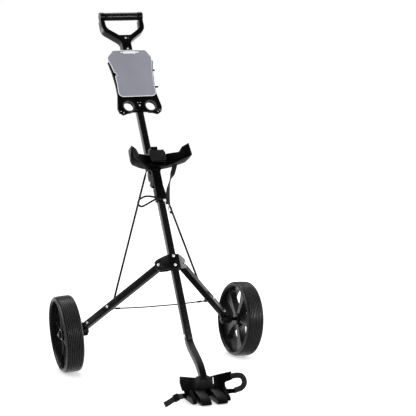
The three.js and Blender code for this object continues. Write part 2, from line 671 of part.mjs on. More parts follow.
// A rod from the handle's pin to the inner end of a leg's bolt.
function braceRod(side, s, leg) {
  const top = pointIn(cart, handle, [s * rodPinX, 0, rodPinRadius]);
  const low = pointIn(cart, leg, [-rodOffset, 0, -legBoltDistance]);
  const run = low.clone().sub(top);
  const dir = run.clone().normalize();
  const shaft = rod(rodRadius, run.length() - 26, dir.toArray(),
    top.clone().addScaledVector(dir, run.length() / 2).toArray(), 10);
  const eye = (at, axis, r) => rod(r, 4.4, axis, at, 14);
  const topEye = eye(top.toArray(), [1, 0, 0], 6.5);
  const lowAxis = legAxes(s).pin.clone().applyQuaternion(mast.quaternion);
  // The lower eye is a solid disc beside its bolt, with the bolt's head on its inner face.
  const lowEye = eye(low.toArray(), lowAxis.toArray(), 6.5);
  const headAt = low.clone().addScaledVector(lowAxis, -3.4).toArray();
  const head = rod(4.5, 3, lowAxis.toArray(), headAt, 14);
  const join = (p, d) => rod(2.2, 20, dir.toArray(), p.clone().addScaledVector(dir, d).toArray(), 8);
  const hole = rod(3.8, 12, [1, 0, 0], top.toArray());
  const body = unite(shaft, topEye, lowEye, head, join(top, 10), join(low, -10));
  named(`rod_${side}`, cut(body, hole), PAINT, cart);
}

// ---------------------------------------------------------------- stay cable between the legs
function stayCable(legs) {
  const end = (s) => {
    const inner = pointIn(cart, legs[s], [-half - 3, 0, -legBoltDistance - 13]);
    return [inner.x - s * 4, inner.y, inner.z];
  };
  const [x, y, z] = end(1);
  const route = [[-x, y, z], [-x * 0.6, y, z - 1], [0, y, z - 1.5], [x * 0.6, y, z - 1], [x, y, z]];
  const circle = new THREE.Shape().absarc(0, 0, 1.8, 0, 2 * Math.PI);
  named('stay_cable', sweep(circle, route, 20, 4), RUBBER, cart);
}

// ---------------------------------------------------------------- assembly
mastTube();
stem();
hub();
cradle();
clevis();
lowerCradle();
straps();
stemPlug();
handleTube();
yoke();
consoleTray();
scorePlate();
plateHinge();

const legs = {};
for (const [side, s] of [['left', -1], ['right', 1]]) {
  const leg = legGroup(s);
  const wheel = wheelGroup(s);
  legs[s] = leg;
  legPinSolid(side, leg);
  legParts(side, s, leg, wheel);
  wheelParts(side, wheel);
  braceRod(side, s, leg);
}
stayCable(legs);

export default cart;
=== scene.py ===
import json
import math

import bmesh
import bpy
from mathutils import Matrix, Vector

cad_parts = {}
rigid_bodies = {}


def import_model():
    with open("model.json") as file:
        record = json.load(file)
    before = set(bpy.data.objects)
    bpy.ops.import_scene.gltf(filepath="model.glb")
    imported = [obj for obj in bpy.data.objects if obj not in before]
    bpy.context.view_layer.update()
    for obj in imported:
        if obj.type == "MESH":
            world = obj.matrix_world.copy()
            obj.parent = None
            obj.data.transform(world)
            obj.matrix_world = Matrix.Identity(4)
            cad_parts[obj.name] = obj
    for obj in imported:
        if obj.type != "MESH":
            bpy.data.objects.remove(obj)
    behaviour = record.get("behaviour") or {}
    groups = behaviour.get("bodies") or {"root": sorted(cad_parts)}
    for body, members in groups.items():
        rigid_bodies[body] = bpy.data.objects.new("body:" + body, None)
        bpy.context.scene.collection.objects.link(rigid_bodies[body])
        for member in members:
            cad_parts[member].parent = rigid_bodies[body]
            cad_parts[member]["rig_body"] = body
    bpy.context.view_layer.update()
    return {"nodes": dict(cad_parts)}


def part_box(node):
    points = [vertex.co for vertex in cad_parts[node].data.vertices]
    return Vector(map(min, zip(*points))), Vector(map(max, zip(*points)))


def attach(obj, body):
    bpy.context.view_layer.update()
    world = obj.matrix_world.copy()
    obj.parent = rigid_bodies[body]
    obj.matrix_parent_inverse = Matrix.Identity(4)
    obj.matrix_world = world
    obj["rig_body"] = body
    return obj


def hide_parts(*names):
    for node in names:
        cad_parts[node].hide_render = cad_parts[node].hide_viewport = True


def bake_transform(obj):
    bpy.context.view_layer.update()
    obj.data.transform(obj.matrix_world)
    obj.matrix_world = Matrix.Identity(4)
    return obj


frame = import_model()
NODES = frame["nodes"]

# ---------------------------------------------------------------- dimensions, millimetres
MM = 0.001
SIDES = (("left", -1), ("right", 1))
GAP = 0.3                      # clearance between pieces that touch on the real cart

TUBE = 22                      # square tube used for mast, handle, legs and stem
WALL = 1.6
CORNER = 3.2
HALF = TUBE / 2

TRACK = 609                    # wheel centre to wheel centre
WHEEL_R = 125
WHEEL_W = 58
RIM_R = 115.5
CAMBER = math.radians(4)       # wheel tops lean outward
TOE_OUT = math.radians(3)      # wheel fronts point outward
SPOKES = 5

MAST_FOOT = (0, -318.7, 151.2)
MAST_LEAN = 32.7               # degrees from vertical, top away from the bag side
MAST_LENGTH = 640
STEM_BOLT = 14                 # along the mast, from its foot
RIVET_HIGH = 280
RIVET_LOW = 249
PIVOT = 555                    # the handle's pivot, along the mast
PIVOT_BACK = 26                # and behind the mast's centre line
CLEVIS_RIVET = 12              # each side of the pivot

HANDLE_TILT = 0.8
GRIP = 622                     # from the handle's pivot
GRIP_FORWARD = 10              # the grip's centre is in front of the tube's
HANDLE_TOP = GRIP - 72         # where the tube ends, inside the yoke
ROD_PIN = 48.75                # the rods' upper pin, from the handle's pivot
ROD_PIN_X = 16
CONSOLE_Z = 277                # the ring holes, from the handle's pivot
CONSOLE_FRONT = -HALF - GAP - 4
PLATE_FRONT = CONSOLE_FRONT - 4
YOKE_SEAT = -14.7              # where the yoke rivets' front heads sit
SCREW_SEAT = 0.02              # small heads start this far outside the face that holds them

EAR_TURN = math.radians(41)    # leg pins are turned this far forward of sideways
LEG_SPLAY = math.radians(72.7)  # angle between a leg and the mast's foot
LEG_PIN = (33.6, 26.2, 265.2)
LEG_LENGTH = 330
LEG_BOLT = 227.5               # down the leg from its hub pin
LEG_END_RIVET = 316
ROD_OFFSET = 17                # rods pass this far inside a leg's centre line

LOWER_PLACE = (0, -439, 62)
LOWER_LEAN = 14
STEM_ROUTE = [(0, 0, -1.2), (0, -0.4, -8), (0, -7, -26), (0, -23, -54), (0, -44, -92),
              (0, -53, -120), (0, -56, -150)]
STRAP_STEPS = 60
CABLE_R = 2.2

# ---------------------------------------------------------------- view and fill, metres
CAMERA_PLACE = (-1.759, -5.032, 1.380)
CAMERA_DOWN = 9.151            # degrees below level
CAMERA_TURN = -21.148          # degrees round from +Y
CAMERA_LENS = 142.79           # focal length on a 36 mm sensor, in millimetres
FILL_LIGHT = 0.62              # strength of the even light from all round


# ---------------------------------------------------------------- frames of the cart
def turned_frame(origin, degrees, parent=Matrix.Identity(4)):
    place = Matrix.Translation(Vector(origin) * MM)
    return parent @ place @ Matrix.Rotation(math.radians(degrees), 4, "X")


def axes_frame(x, y, z, origin):
    """A frame from its three axes, with its origin in millimetres."""
    place = Matrix((x, y, z)).transposed().to_4x4()
    place.translation = Vector(origin) * MM
    return place


MAST = turned_frame(MAST_FOOT, -MAST_LEAN)
HANDLE = turned_frame((0, PIVOT_BACK, PIVOT), -HANDLE_TILT, MAST)
LOWER = turned_frame(LOWER_PLACE, -LOWER_LEAN)


def leg_frame(s):
    """X along the leg's hub pin, Z up the leg, from the pin's centre."""
    pin = Vector((s * math.cos(EAR_TURN), -math.sin(EAR_TURN), 0))
    out = Vector((s * math.sin(EAR_TURN), math.cos(EAR_TURN), 0))
    z = -(out * math.sin(LEG_SPLAY) + Vector((0, 0, -math.cos(LEG_SPLAY))))
    x, y, height = LEG_PIN
    return MAST @ axes_frame(pin, z.cross(pin), z, (s * x, y, height))


def wheel_frame(s):
    """X outward along the axle, from the wheel's centre."""
    axis = Vector((s * math.cos(CAMBER) * math.cos(TOE_OUT), math.cos(CAMBER) * math.sin(TOE_OUT),
                   -math.sin(CAMBER)))
    up = axis.cross(Vector((0, 1, 0))).normalized() * s
    tread_half = WHEEL_W / 2 - 7
    rise = WHEEL_R * math.cos(CAMBER) + tread_half * math.sin(CAMBER)
    return axes_frame(axis, up.cross(axis), up, (s * TRACK / 2, 0, rise))


def at(parent, x, y, z, turn=0, axis="Z"):
    """A place in a parent frame, turned in degrees about one of its axes."""
    place = Matrix.Translation(Vector((x, y, z)) * MM)
    return parent @ place @ Matrix.Rotation(math.radians(turn), 4, axis)


LEGS = {side: leg_frame(s) for side, s in SIDES}
WHEELS = {side: wheel_frame(s) for side, s in SIDES}


# ---------------------------------------------------------------- material helpers
def settings(node, values):
    """Sets a node's inputs by name."""
    for name, value in values.items():
        node.inputs[name].default_value = value


def new_material(name, color, roughness, metallic=0.0):
    material = bpy.data.materials.new(name)
    material.use_nodes = True
    shader = material.node_tree.nodes["Principled BSDF"]
    settings(shader, {"Base Color": (*color, 1), "Roughness": roughness, "Metallic": metallic})
    return material, material.node_tree, shader


def add(tree, kind, **values):
    """A new node; each value sets one of its inputs, or else one of its properties."""
    node = tree.nodes.new(kind)
    for name, value in values.items():
        if name in node.inputs:
            node.inputs[name].default_value = value
        else:
            setattr(node, name, value)
    return node


def noise(tree, scale, detail=4.0):
    """Soft noise laid in the object's own space."""
    coords = add(tree, "ShaderNodeTexCoord")
    node = add(tree, "ShaderNodeTexNoise", Scale=scale, Detail=detail)
    tree.links.new(coords.outputs["Object"], node.inputs["Vector"])
    return node.outputs["Fac"]


def cells(tree, scale):
    """Closed cells laid in the object's own space, as the distance from each cell's middle."""
    coords = add(tree, "ShaderNodeTexCoord")
    node = add(tree, "ShaderNodeTexVoronoi", Scale=scale)
    tree.links.new(coords.outputs["Object"], node.inputs["Vector"])
    return node.outputs["Distance"]


def ramp(tree, source, low, high, start=0.3, end=0.7):
    node = add(tree, "ShaderNodeValToRGB")
    node.color_ramp.elements[0].position = start
    node.color_ramp.elements[1].position = end
    node.color_ramp.elements[0].color = (*low, 1)
    node.color_ramp.elements[1].color = (*high, 1)
    tree.links.new(source, node.inputs["Fac"])
    return node.outputs["Color"]


def span(tree, source, low, high, start=0.3, end=0.7):
    """Maps start..end of the source to low..high."""
    node = add(tree, "ShaderNodeMapRange")
    settings(node, {"From Min": start, "From Max": end, "To Min": low, "To Max": high})
    tree.links.new(source, node.inputs["Value"])
    return node.outputs["Result"]


def combine(tree, operation, first, second):
    node = add(tree, "ShaderNodeMath", operation=operation)
    tree.links.new(first, node.inputs[0])
    tree.links.new(second, node.inputs[1])
    return node.outputs[0]


def bump(tree, shader, source, strength, distance, chain=None):
    """Bumps the surface by the source, on top of an earlier bump when one is chained."""
    node = add(tree, "ShaderNodeBump", Strength=strength, Distance=distance)
    tree.links.new(source, node.inputs["Height"])
    if chain is not None:
        tree.links.new(chain, node.inputs["Normal"])
    tree.links.new(node.outputs["Normal"], shader.inputs["Normal"])
    return node.outputs["Normal"]


def edge_wear_and_highlight(tree, shader, base, wear_and_highlight, low=0.54, high=0.62):
    """Brightens sharp edges: slightly as wear where paint and plastic rub, and strongly as a
    painted highlight when given a bright colour.
    """
    geometry = add(tree, "ShaderNodeNewGeometry")
    edge = span(tree, geometry.outputs["Pointiness"], 0, 1, low, high)
    speckle = span(tree, noise(tree, 220), 0.25, 1)
    amount = combine(tree, "MULTIPLY", edge, speckle)
    mix = add(tree, "ShaderNodeMix", data_type="RGBA")
    tree.links.new(amount, mix.inputs["Factor"])
    tree.links.new(base, mix.inputs["A"])
    mix.inputs["B"].default_value = (*wear_and_highlight, 1)
    tree.links.new(mix.outputs["Result"], shader.inputs["Base Color"])


def tinted(tree, shader, scale, low, high, detail=4.0):
    """Mottles the base colour between two shades."""
    tree.links.new(ramp(tree, noise(tree, scale, detail), low, high), shader.inputs["Base Color"])


def uneven(tree, shader, scale, low, high):
    """Varies the roughness between two values."""
    tree.links.new(span(tree, noise(tree, scale), low, high), shader.inputs["Roughness"])


# ---------------------------------------------------------------- materials
def paint():
    """Black powder coat: satin, with a fine orange peel."""
    material, tree, shader = new_material("black_powder_coat", (0.004, 0.004, 0.0042), 0.24)
    base = ramp(tree, noise(tree, 35), (0.001, 0.001, 0.0011), (0.0022, 0.0022, 0.0024))
    edge_wear_and_highlight(tree, shader, base, (0.03, 0.03, 0.032))
    uneven(tree, shader, 90, 0.18, 0.3)
    settings(shader, {"Specular IOR Level": 0.3, "Coat Weight": 0.16, "Coat Roughness": 0.1})
    peel = bump(tree, shader, noise(tree, 900, 2), 0.12, 0.0002)
    bump(tree, shader, noise(tree, 2600, 1), 0.08, 0.0001, peel)
    return material


def plastic(name="black_moulding", low=(0.0009, 0.0009, 0.0009), high=(0.002, 0.0019, 0.0019),
            rough=(0.3, 0.42), gloss=0.1, wear_and_highlight=0.03):
    """Moulded plastic with a fine spark-eroded grain."""
    material, tree, shader = new_material(name, high, 0.5)
    base = ramp(tree, noise(tree, 24), low, high)
    edge_wear_and_highlight(tree, shader, base, (wear_and_highlight, wear_and_highlight, wear_and_highlight))
    uneven(tree, shader, 60, *rough)
    settings(shader, {"Specular IOR Level": gloss})
    grain = bump(tree, shader, cells(tree, 1500.0), 0.22, 0.0002)
    bump(tree, shader, noise(tree, 300, 3), 0.08, 0.0004, grain)
    return material


def grip_rubber():
    """Smooth black rubber with a soft shine."""
    material, tree, shader = new_material("grip_rubber", (0.004, 0.004, 0.004), 0.25)
    tinted(tree, shader, 50, (0.003, 0.003, 0.003), (0.006, 0.006, 0.006))
    uneven(tree, shader, 140, 0.2, 0.3)
    bump(tree, shader, noise(tree, 700, 2), 0.03, 0.0001)
    return material


def foam():
    """Charcoal tyre foam: a satin closed-cell skin, paler along its rib edges, partly as wear and
    partly as painted highlight streaks.
    """
    material, tree, shader = new_material("tyre_foam", (0.01, 0.01, 0.01), 0.5)
    base = ramp(tree, noise(tree, 18), (0.007, 0.007, 0.0072), (0.013, 0.013, 0.0134))
    # Pale rib edges: part rub wear, part painted highlight streaks.
    edge_wear_and_highlight(tree, shader, base, (0.09, 0.09, 0.09), 0.52, 0.6)
    uneven(tree, shader, 45, 0.24, 0.36)
    settings(shader, {"Specular IOR Level": 0.3})
    skin = bump(tree, shader, cells(tree, 700.0), 0.2, 0.0003)
    bump(tree, shader, noise(tree, 120, 3), 0.1, 0.0006, skin)
    return material


def steel(name="zinc_steel", tint=(0.74, 0.74, 0.73), metallic=1.0):
    """Plated metal, mottled, as on rivets and bolts."""
    material, tree, shader = new_material(name, tint, 0.28, metallic)
    tinted(tree, shader, 160, tuple(c * 0.72 for c in tint), tint)
    uneven(tree, shader, 260, 0.18, 0.4)
    bump(tree, shader, noise(tree, 1400, 2), 0.08, 0.0001)
    return material


def webbing():
    """Flat woven nylon: fine ribs across the strap and broader cords along it."""
    material, tree, shader = new_material("webbing", (0.012, 0.012, 0.012), 0.75)
    uv = add(tree, "ShaderNodeUVMap")
    height = None
    for direction, scale in (("X", 260.0), ("Y", 90.0)):
        wave = add(tree, "ShaderNodeTexWave", wave_type="BANDS", bands_direction=direction)
        settings(wave, {"Scale": scale, "Distortion": 0.4})
        tree.links.new(uv.outputs["UV"], wave.inputs["Vector"])
        if height is None:
            height = wave.outputs["Fac"]
        else:
            height = combine(tree, "MULTIPLY", height, wave.outputs["Fac"])
    color = ramp(tree, height, (0.001, 0.001, 0.001), (0.006, 0.006, 0.006), 0.1, 0.9)
    tree.links.new(color, shader.inputs["Base Color"])
    settings(shader, {"Sheen Weight": 0.12})
    bump(tree, shader, height, 0.5, 0.0004)
    return material


def frosted():
    """Frosted plastic, lavender grey and only slightly clear."""
    material, tree, shader = new_material("frosted_plate", (0.3, 0.3, 0.36), 0.38)
    tinted(tree, shader, 9, (0.285, 0.285, 0.345), (0.325, 0.325, 0.385), 2)
    uneven(tree, shader, 30, 0.34, 0.46)
    settings(shader, {"Transmission Weight": 0.08, "IOR": 1.49})
    bump(tree, shader, noise(tree, 1800, 2), 0.1, 0.0001)
    return material


def painted_glow_edge():
    """The plate's bright cut edge, with a faint painted glow from its emission, standing in for the
    light a clear sheet's edge catches.
    """
    material, tree, shader = new_material("painted_glow_edge", (0.86, 0.86, 0.9), 0.12)
    tinted(tree, shader, 60, (0.78, 0.78, 0.83), (0.92, 0.92, 0.95))
    # The emission paints the edge's glow; the edge is no lamp.
    settings(shader, {"Coat Weight": 0.6, "Emission Color": (0.9, 0.9, 1.0, 1),
                      "Emission Strength": 0.12})
    return material


def red_lens():
    """Glossy red plastic."""
    material, tree, shader = new_material("red_badge", (0.5, 0.012, 0.03), 0.25)
    tinted(tree, shader, 80, (0.42, 0.01, 0.025), (0.58, 0.02, 0.04))
    settings(shader, {"Coat Weight": 0.5})
    return material


PAINT = paint()
PLASTIC = plastic()
PAD = plastic("pad_rubber", (0.01, 0.0098, 0.0098), (0.015, 0.0147, 0.0147), (0.45, 0.6), 0.2)
RIM = plastic("rim_moulding", (0.004, 0.004, 0.004), (0.008, 0.008, 0.008), (0.2, 0.32), 0.4)
# The yoke's bright edge colour is a painted highlight: white lines along its edges.
YOKE = plastic("yoke_moulding", rough=(0.2, 0.3), gloss=0.25, wear_and_highlight=0.3)
RUBBER = grip_rubber()
FOAM = foam()
STEEL = steel()
WEB = webbing()
FROSTED = frosted()
EDGE = painted_glow_edge()
BRIGHT = steel("bright_rivet", (0.92, 0.92, 0.92), 0.35)
WHITE = plastic("white_clip", (0.8, 0.8, 0.81), (0.88, 0.88, 0.88), (0.25, 0.35))
RED = red_lens()


# ---------------------------------------------------------------- mesh helpers
def piece(name, mesh, material, body, replaces=()):
    """One visible piece; a piece given no body rides on none."""
    mesh.materials.clear()
    mesh.materials.append(material)
    obj = bpy.data.objects.new(name, mesh)
    bpy.context.scene.collection.objects.link(obj)
    if body:
        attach(obj, body)
    if replaces:
        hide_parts(*replaces)
    return obj


def smooth(mesh, angle):
    for polygon in mesh.polygons:
        polygon.use_smooth = True
    mesh.set_sharp_from_angle(angle=math.radians(angle))


def to_mesh(bm, name, angle):
    """Ends a bmesh as a mesh, smooth but for edges sharper than the angle in degrees."""
    bmesh.ops.recalc_face_normals(bm, faces=bm.faces)
    mesh = bpy.data.meshes.new(name)
    bm.to_mesh(mesh)
    bm.free()
    smooth(mesh, angle)
    return mesh


def weld(bm, distance=1e-6):
    bmesh.ops.remove_doubles(bm, verts=bm.verts, dist=distance)


def split_many_sided(bm):
    bmesh.ops.triangulate(bm, faces=[f for f in bm.faces if len(f.verts) > 4])


def loft(bm, rings, caps=True, place=Matrix.Identity(4)):
    """Skins a list of rings of points, given in millimetres."""
    rows = [[bm.verts.new(place @ (Vector(p) * MM)) for p in ring] for ring in rings]
    count = len(rows[0])
    for a, b in zip(rows, rows[1:]):
        for i in range(count):
            j = (i + 1) % count
            bm.faces.new((a[i], a[j], b[j], b[i]))
    if caps:
        bm.faces.new(rows[0][::-1])
        bm.faces.new(rows[-1])


def circle(r, n=16):
    return [(r * math.cos(2 * math.pi * k / n), r * math.sin(2 * math.pi * k / n))
            for k in range(n)]


def rounded_square(w, d, r, steps=5):
    points = []
    for cx, cy, start in ((w / 2 - r, d / 2 - r, 0), (-w / 2 + r, d / 2 - r, 90),
                          (-w / 2 + r, -d / 2 + r, 180), (w / 2 - r, -d / 2 + r, 270)):
        for k in range(steps + 1):
            a = math.radians(start + 90 * k / steps)
            points.append((cx + r * math.cos(a), cy + r * math.sin(a)))
    return points


def spin(bm, profile, segments=48, place=Matrix.Identity(4)):
    """Turns a profile of (along X, radius) about the X axis; radius 0 closes it."""
    rows = []
    for x, r in profile:
        if r <= 0:
            rows.append([bm.verts.new(place @ Vector((x * MM, 0, 0)))])
            continue
        ring = []
        for k in range(segments):
            a = 2 * math.pi * k / segments
            ring.append(bm.verts.new(place @ (Vector((x, r * math.cos(a), r * math.sin(a))) * MM)))
        rows.append(ring)
    for a, b in zip(rows, rows[1:]):
        for k in range(segments):
            j = (k + 1) % segments
            corners = [a[k % len(a)], a[j % len(a)], b[j % len(b)], b[k % len(b)]]
            unique = list(dict.fromkeys(corners))
            if len(unique) > 2:
                bm.faces.new(unique)


def turned(name, profile, material, body, place, replaces=(), segments=48, angle=40):
    """A lathe-turned piece; its profile runs along the X of its place."""
    bm = bmesh.new()
    spin(bm, profile, segments, place)
    weld(bm)
    return piece(name, to_mesh(bm, name, angle), material, body, replaces)


def catmull(points, count):
    """Centripetal Catmull-Rom through the points, as the CAD's curves are."""
    p = [Vector(q) for q in points]
    p = [p[0] * 2 - p[1]] + p + [p[-1] * 2 - p[-2]]
    out = []
    segments = len(p) - 3
    for i in range(count + 1):
        f = min(i / count * segments, segments - 1e-6)
        k = int(f)
        u = f - k
        a, b, c, d = p[k:k + 4]
        t0 = 0.0
        t1 = t0 + max((b - a).length, 1e-4) ** 0.5
        t2 = t1 + max((c - b).length, 1e-4) ** 0.5
        t3 = t2 + max((d - c).length, 1e-4) ** 0.5
        t = t1 + (t2 - t1) * u
        a1 = a * ((t1 - t) / (t1 - t0)) + b * ((t - t0) / (t1 - t0))
        a2 = b * ((t2 - t) / (t2 - t1)) + c * ((t - t1) / (t2 - t1))
        a3 = c * ((t3 - t) / (t3 - t2)) + d * ((t - t2) / (t3 - t2))
        b1 = a1 * ((t2 - t) / (t2 - t0)) + a2 * ((t - t0) / (t2 - t0))
        b2 = a2 * ((t3 - t) / (t3 - t1)) + a3 * ((t - t1) / (t3 - t1))
        out.append(b1 * ((t2 - t) / (t2 - t1)) + b2 * ((t - t1) / (t2 - t1)))
    return out


def sweep(bm, profile, path, wide, place=Matrix.Identity(4)):
    """Carries a profile along a path; wide is the profile's X direction, or one for each point."""
    rings = []
    for i, p in enumerate(path):
        before = path[max(i - 1, 0)]
        after = path[min(i + 1, len(path) - 1)]
        tangent = (after - before).normalized()
        w = Vector(wide[i] if isinstance(wide, list) else wide)
        x = (w - tangent * w.dot(tangent)).normalized()
        y = tangent.cross(x)
        rings.append([p + x * a + y * b for a, b in profile])
    loft(bm, rings, place=place)


def refine(node, material, width=0.8, segments=2, angle=30):
    """The CAD node's own shape with its edges rounded off, as a moulding or pressing has."""
    source = NODES[node]
    name = node + "_skin"
    bm = bmesh.new()
    bm.from_mesh(source.data)
    weld(bm, 1e-5)
    bmesh.ops.dissolve_limit(bm, angle_limit=math.radians(1.5), verts=bm.verts, edges=bm.edges)
    sharp = [e for e in bm.edges if e.is_manifold and e.calc_face_angle(0) > math.radians(angle)]
    bmesh.ops.bevel(bm, geom=sharp, offset=width * MM, segments=segments, profile=0.5,
                    affect="EDGES", clamp_overlap=True)
    split_many_sided(bm)
    return piece(name, to_mesh(bm, name, 40), material, source["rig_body"], [node])


# ---------------------------------------------------------------- camera, floor and light
def camera():
    data = bpy.data.cameras.new("camera")
    data.sensor_width = 36
    data.lens = CAMERA_LENS
    obj = bpy.data.objects.new("camera", data)
    obj.location = CAMERA_PLACE
    obj.rotation_euler = (math.radians(90 - CAMERA_DOWN), 0, math.radians(CAMERA_TURN))
    bpy.context.scene.collection.objects.link(obj)
    bpy.context.scene.camera = obj


def floor():
    material, tree, shader = new_material("floor", (0.93, 0.93, 0.925), 0.9)
    tinted(tree, shader, 0.6, (0.925, 0.925, 0.92), (0.935, 0.935, 0.93))
    settings(shader, {"Specular IOR Level": 0.1, "Emission Color": (1, 1, 0.995, 1),
                      "Emission Strength": 0.44})
    bm = bmesh.new()
    bmesh.ops.create_grid(bm, x_segments=2, y_segments=2, size=90)
    mesh = bpy.data.meshes.new("floor")
    bm.to_mesh(mesh)
    bm.free()
    mesh.materials.append(material)
    obj = bpy.data.objects.new("floor", mesh)
    obj.location.z = -0.0006
    obj.visible_glossy = False
    bpy.context.scene.collection.objects.link(obj)


def glossy_sky(tree):
    """What gloss sees: a bright sweep behind the cart, a dark ceiling, and dark straight below."""
    coords = add(tree, "ShaderNodeTexCoord")
    split = add(tree, "ShaderNodeSeparateXYZ")
    tree.links.new(coords.outputs["Generated"], split.inputs["Vector"])
    height = span(tree, split.outputs["Z"], 0, 1, -1, 1)
    sky = add(tree, "ShaderNodeValToRGB")
    stops = ((0.0, 0.02), (0.04, 0.03), (0.08, 0.9), (0.45, 1.3), (0.55, 1.0), (0.65, 0.05),
             (1.0, 0.02))
    for position, value in stops:
        stop = sky.color_ramp.elements.new(position)
        stop.color = (value, value, value, 1)
    sky.color_ramp.elements.remove(sky.color_ramp.elements[0])
    sky.color_ramp.elements.remove(sky.color_ramp.elements[-1])
    tree.links.new(height, sky.inputs["Fac"])
    behind = span(tree, split.outputs["Y"], 0.08, 1.0, -0.35, 0.3)
    return combine(tree, "MULTIPLY", sky.outputs["Color"], behind)


def surroundings():
    """White to the camera, an even fill to diffuse light, and the glossy sky to reflections."""
    world = bpy.data.worlds.new("studio")
    world.use_nodes = True
    tree = world.node_tree
    background = tree.nodes["Background"]
    settings(background, {"Color": (1, 1, 1, 1)})
    sky = glossy_sky(tree)
    path = add(tree, "ShaderNodeLightPath")
    mix = add(tree, "ShaderNodeMix", data_type="FLOAT")
    mix.inputs["A"].default_value = FILL_LIGHT
    tree.links.new(path.outputs["Is Glossy Ray"], mix.inputs["Factor"])
    tree.links.new(sky, mix.inputs["B"])
    seen = combine(tree, "MAXIMUM", path.outputs["Is Camera Ray"], mix.outputs["Result"])
    tree.links.new(seen, background.inputs["Strength"])
    bpy.context.scene.world = world


def area_light(name, place, target, size, power, spread=180):
    data = bpy.data.lights.new(name, "AREA")
    data.shape = "RECTANGLE"
    data.size, data.size_y = size
    data.energy = power
    data.spread = math.radians(spread)
    obj = bpy.data.objects.new(name, data)
    obj.location = place
    aim = Vector(target) - Vector(place)
    obj.rotation_euler = aim.to_track_quat("-Z", "Y").to_euler()
    bpy.context.scene.collection.objects.link(obj)


def lights():
    area_light("key_left", (-3.0, 1.6, 1.6), (0, 0, 0.6), (1.4, 2.4), 45)
    area_light("front_strip", (1.9, -4.6, 1.75), (0, 0, 0.2), (2.4, 0.3), 9, 60)
    area_light("rim_right", (3.2, -0.4, 1.2), (0, 0, 0.4), (0.7, 2.2), 40)
    area_light("top_back", (0.3, 2.6, 3.6), (0, 0, 0.4), (2.6, 1.2), 50)
    bpy.context.scene.view_settings.view_transform = "Standard"


# ---------------------------------------------------------------- fasteners
def dome(x, r, h, sign=1):
    """Profile of a domed head, from its flat face at x outward."""
    return [(x, r * 0.96), (x + sign * h * 0.25, r), (x + sign * h * 0.6, r * 0.86),
            (x + sign * h * 0.9, r * 0.5), (x + sign * h, 0)]


def rivet(node, place, ends, r, near, far=None, material=STEEL):
    """A rivet or bolt along the X of its place; near and far are each head's radius and height."""
    start, end = ends
    profile = dome(start, *near, -1)[::-1] + [(start, r), (end, r)] + dome(end, *(far or near))
    turned(node + "_dome", profile, material, NODES[node]["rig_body"], place, [node], 32)


def mast_fasteners():
    hub = HALF + GAP + 2.8
    for where, z in (("upper", RIVET_HIGH), ("lower", RIVET_LOW)):
        rivet(f"hub_rivet_{where}", at(MAST, 0, 0, z, 90), (-hub, hub), 3, (5, 2.4), (3.9, 1.5),
              BRIGHT)
    face = HALF + GAP
    rivet("stem_bolt", at(MAST, 0, 0, STEM_BOLT), (-face, face), 3, (6.2, 3.4), material=BRIGHT)
    cheek = HALF + 0.7 + 2.5 + GAP
    rivet("handle_pivot_pin", at(MAST, 0, PIVOT_BACK, PIVOT), (-cheek, cheek), 4, (6, 2),
          material=BRIGHT)
    for where, dz in (("upper", CLEVIS_RIVET), ("lower", -CLEVIS_RIVET)):
        rivet(f"clevis_rivet_{where}", at(MAST, 0, 0, PIVOT + dz), (-cheek, cheek), 2.5, (4, 1.6),
              material=PAINT)


def handle_fasteners():
    face = HALF + GAP
    for where, down in (("upper", 84), ("lower", 126)):
        rivet(f"yoke_rivet_{where}", at(HANDLE, 0, 0, GRIP - down, 90), (YOKE_SEAT, face), 2.5,
              (3.6, 1.9), material=BRIGHT)
    rivet("console_screw", at(HANDLE, 0, 0, CONSOLE_Z + 2, 90), (CONSOLE_FRONT - GAP, face), 2.5,
          (3, 1.9), material=BRIGHT)
    pin_end = ROD_PIN_X + 5
    rivet("rod_pin", at(HANDLE, 0, 0, ROD_PIN), (-pin_end, pin_end), 2.5, (4, 1.4))


def leg_fasteners():
    face = HALF + GAP
    ear = HALF + 0.9 + 2.5
    for side, leg in LEGS.items():
        rivet(f"leg_pin_{side}", leg, (-ear, ear), 4, (6, 1.0), (4.8, 2.6), BRIGHT)
        rivet(f"leg_bolt_{side}", at(leg, 0, 0, -LEG_BOLT), (-face, face), 3, (4.6, 1.8), (4.8, 3),
              BRIGHT)
        rivet(f"leg_end_rivet_{side}", at(leg, 0, 0, -LEG_END_RIVET), (-face, face), 2.5,
              (4.5, 1.8), material=BRIGHT)


def fasteners():
    mast_fasteners()
    handle_fasteners()
    leg_fasteners()


# ---------------------------------------------------------------- tubes
def tube(node, place, z0, z1, nose=()):
    """A square tube; nose lists stations of (z, depth) that round its lower end off."""
    end_scale = 0.985
    end_ease = 0.4
    bore = TUBE - 2 * WALL
    outer = rounded_square(TUBE, TUBE, CORNER)
    inner = rounded_square(bore, bore, 1.5)
    low = nose[0][1] / TUBE if nose else 1.0
    rings = [[(x, y * low, z0) for x, y in inner]]
    rings += [[(x * end_scale, y * end_scale * low, z0) for x, y in outer]]
    rings += [[(x, y * depth / TUBE, z) for x, y in outer] for z, depth in nose[1:]]
    start = nose[-1][0] if nose else z0 + end_ease
    rings += [[(x, y, z) for x, y in outer] for z in (start + 0.1, z1 - end_ease)]
    rings += [[(x * end_scale, y * end_scale, z1) for x, y in outer]]
    rings += [[(x, y, z1) for x, y in inner], [(x, y * low, z0) for x, y in inner]]
    bm = bmesh.new()
    loft(bm, rings, caps=False, place=place)
    weld(bm)
    piece(node + "_skin", to_mesh(bm, node, 30), PAINT, NODES[node]["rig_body"], [node])


def stem():
    bm = bmesh.new()
    sweep(bm, rounded_square(TUBE, TUBE, CORNER), catmull(STEM_ROUTE, 48), (1, 0, 0), MAST)
    piece("lower_stem_skin", to_mesh(bm, "lower_stem", 30), PAINT, "frame", ["lower_stem"])


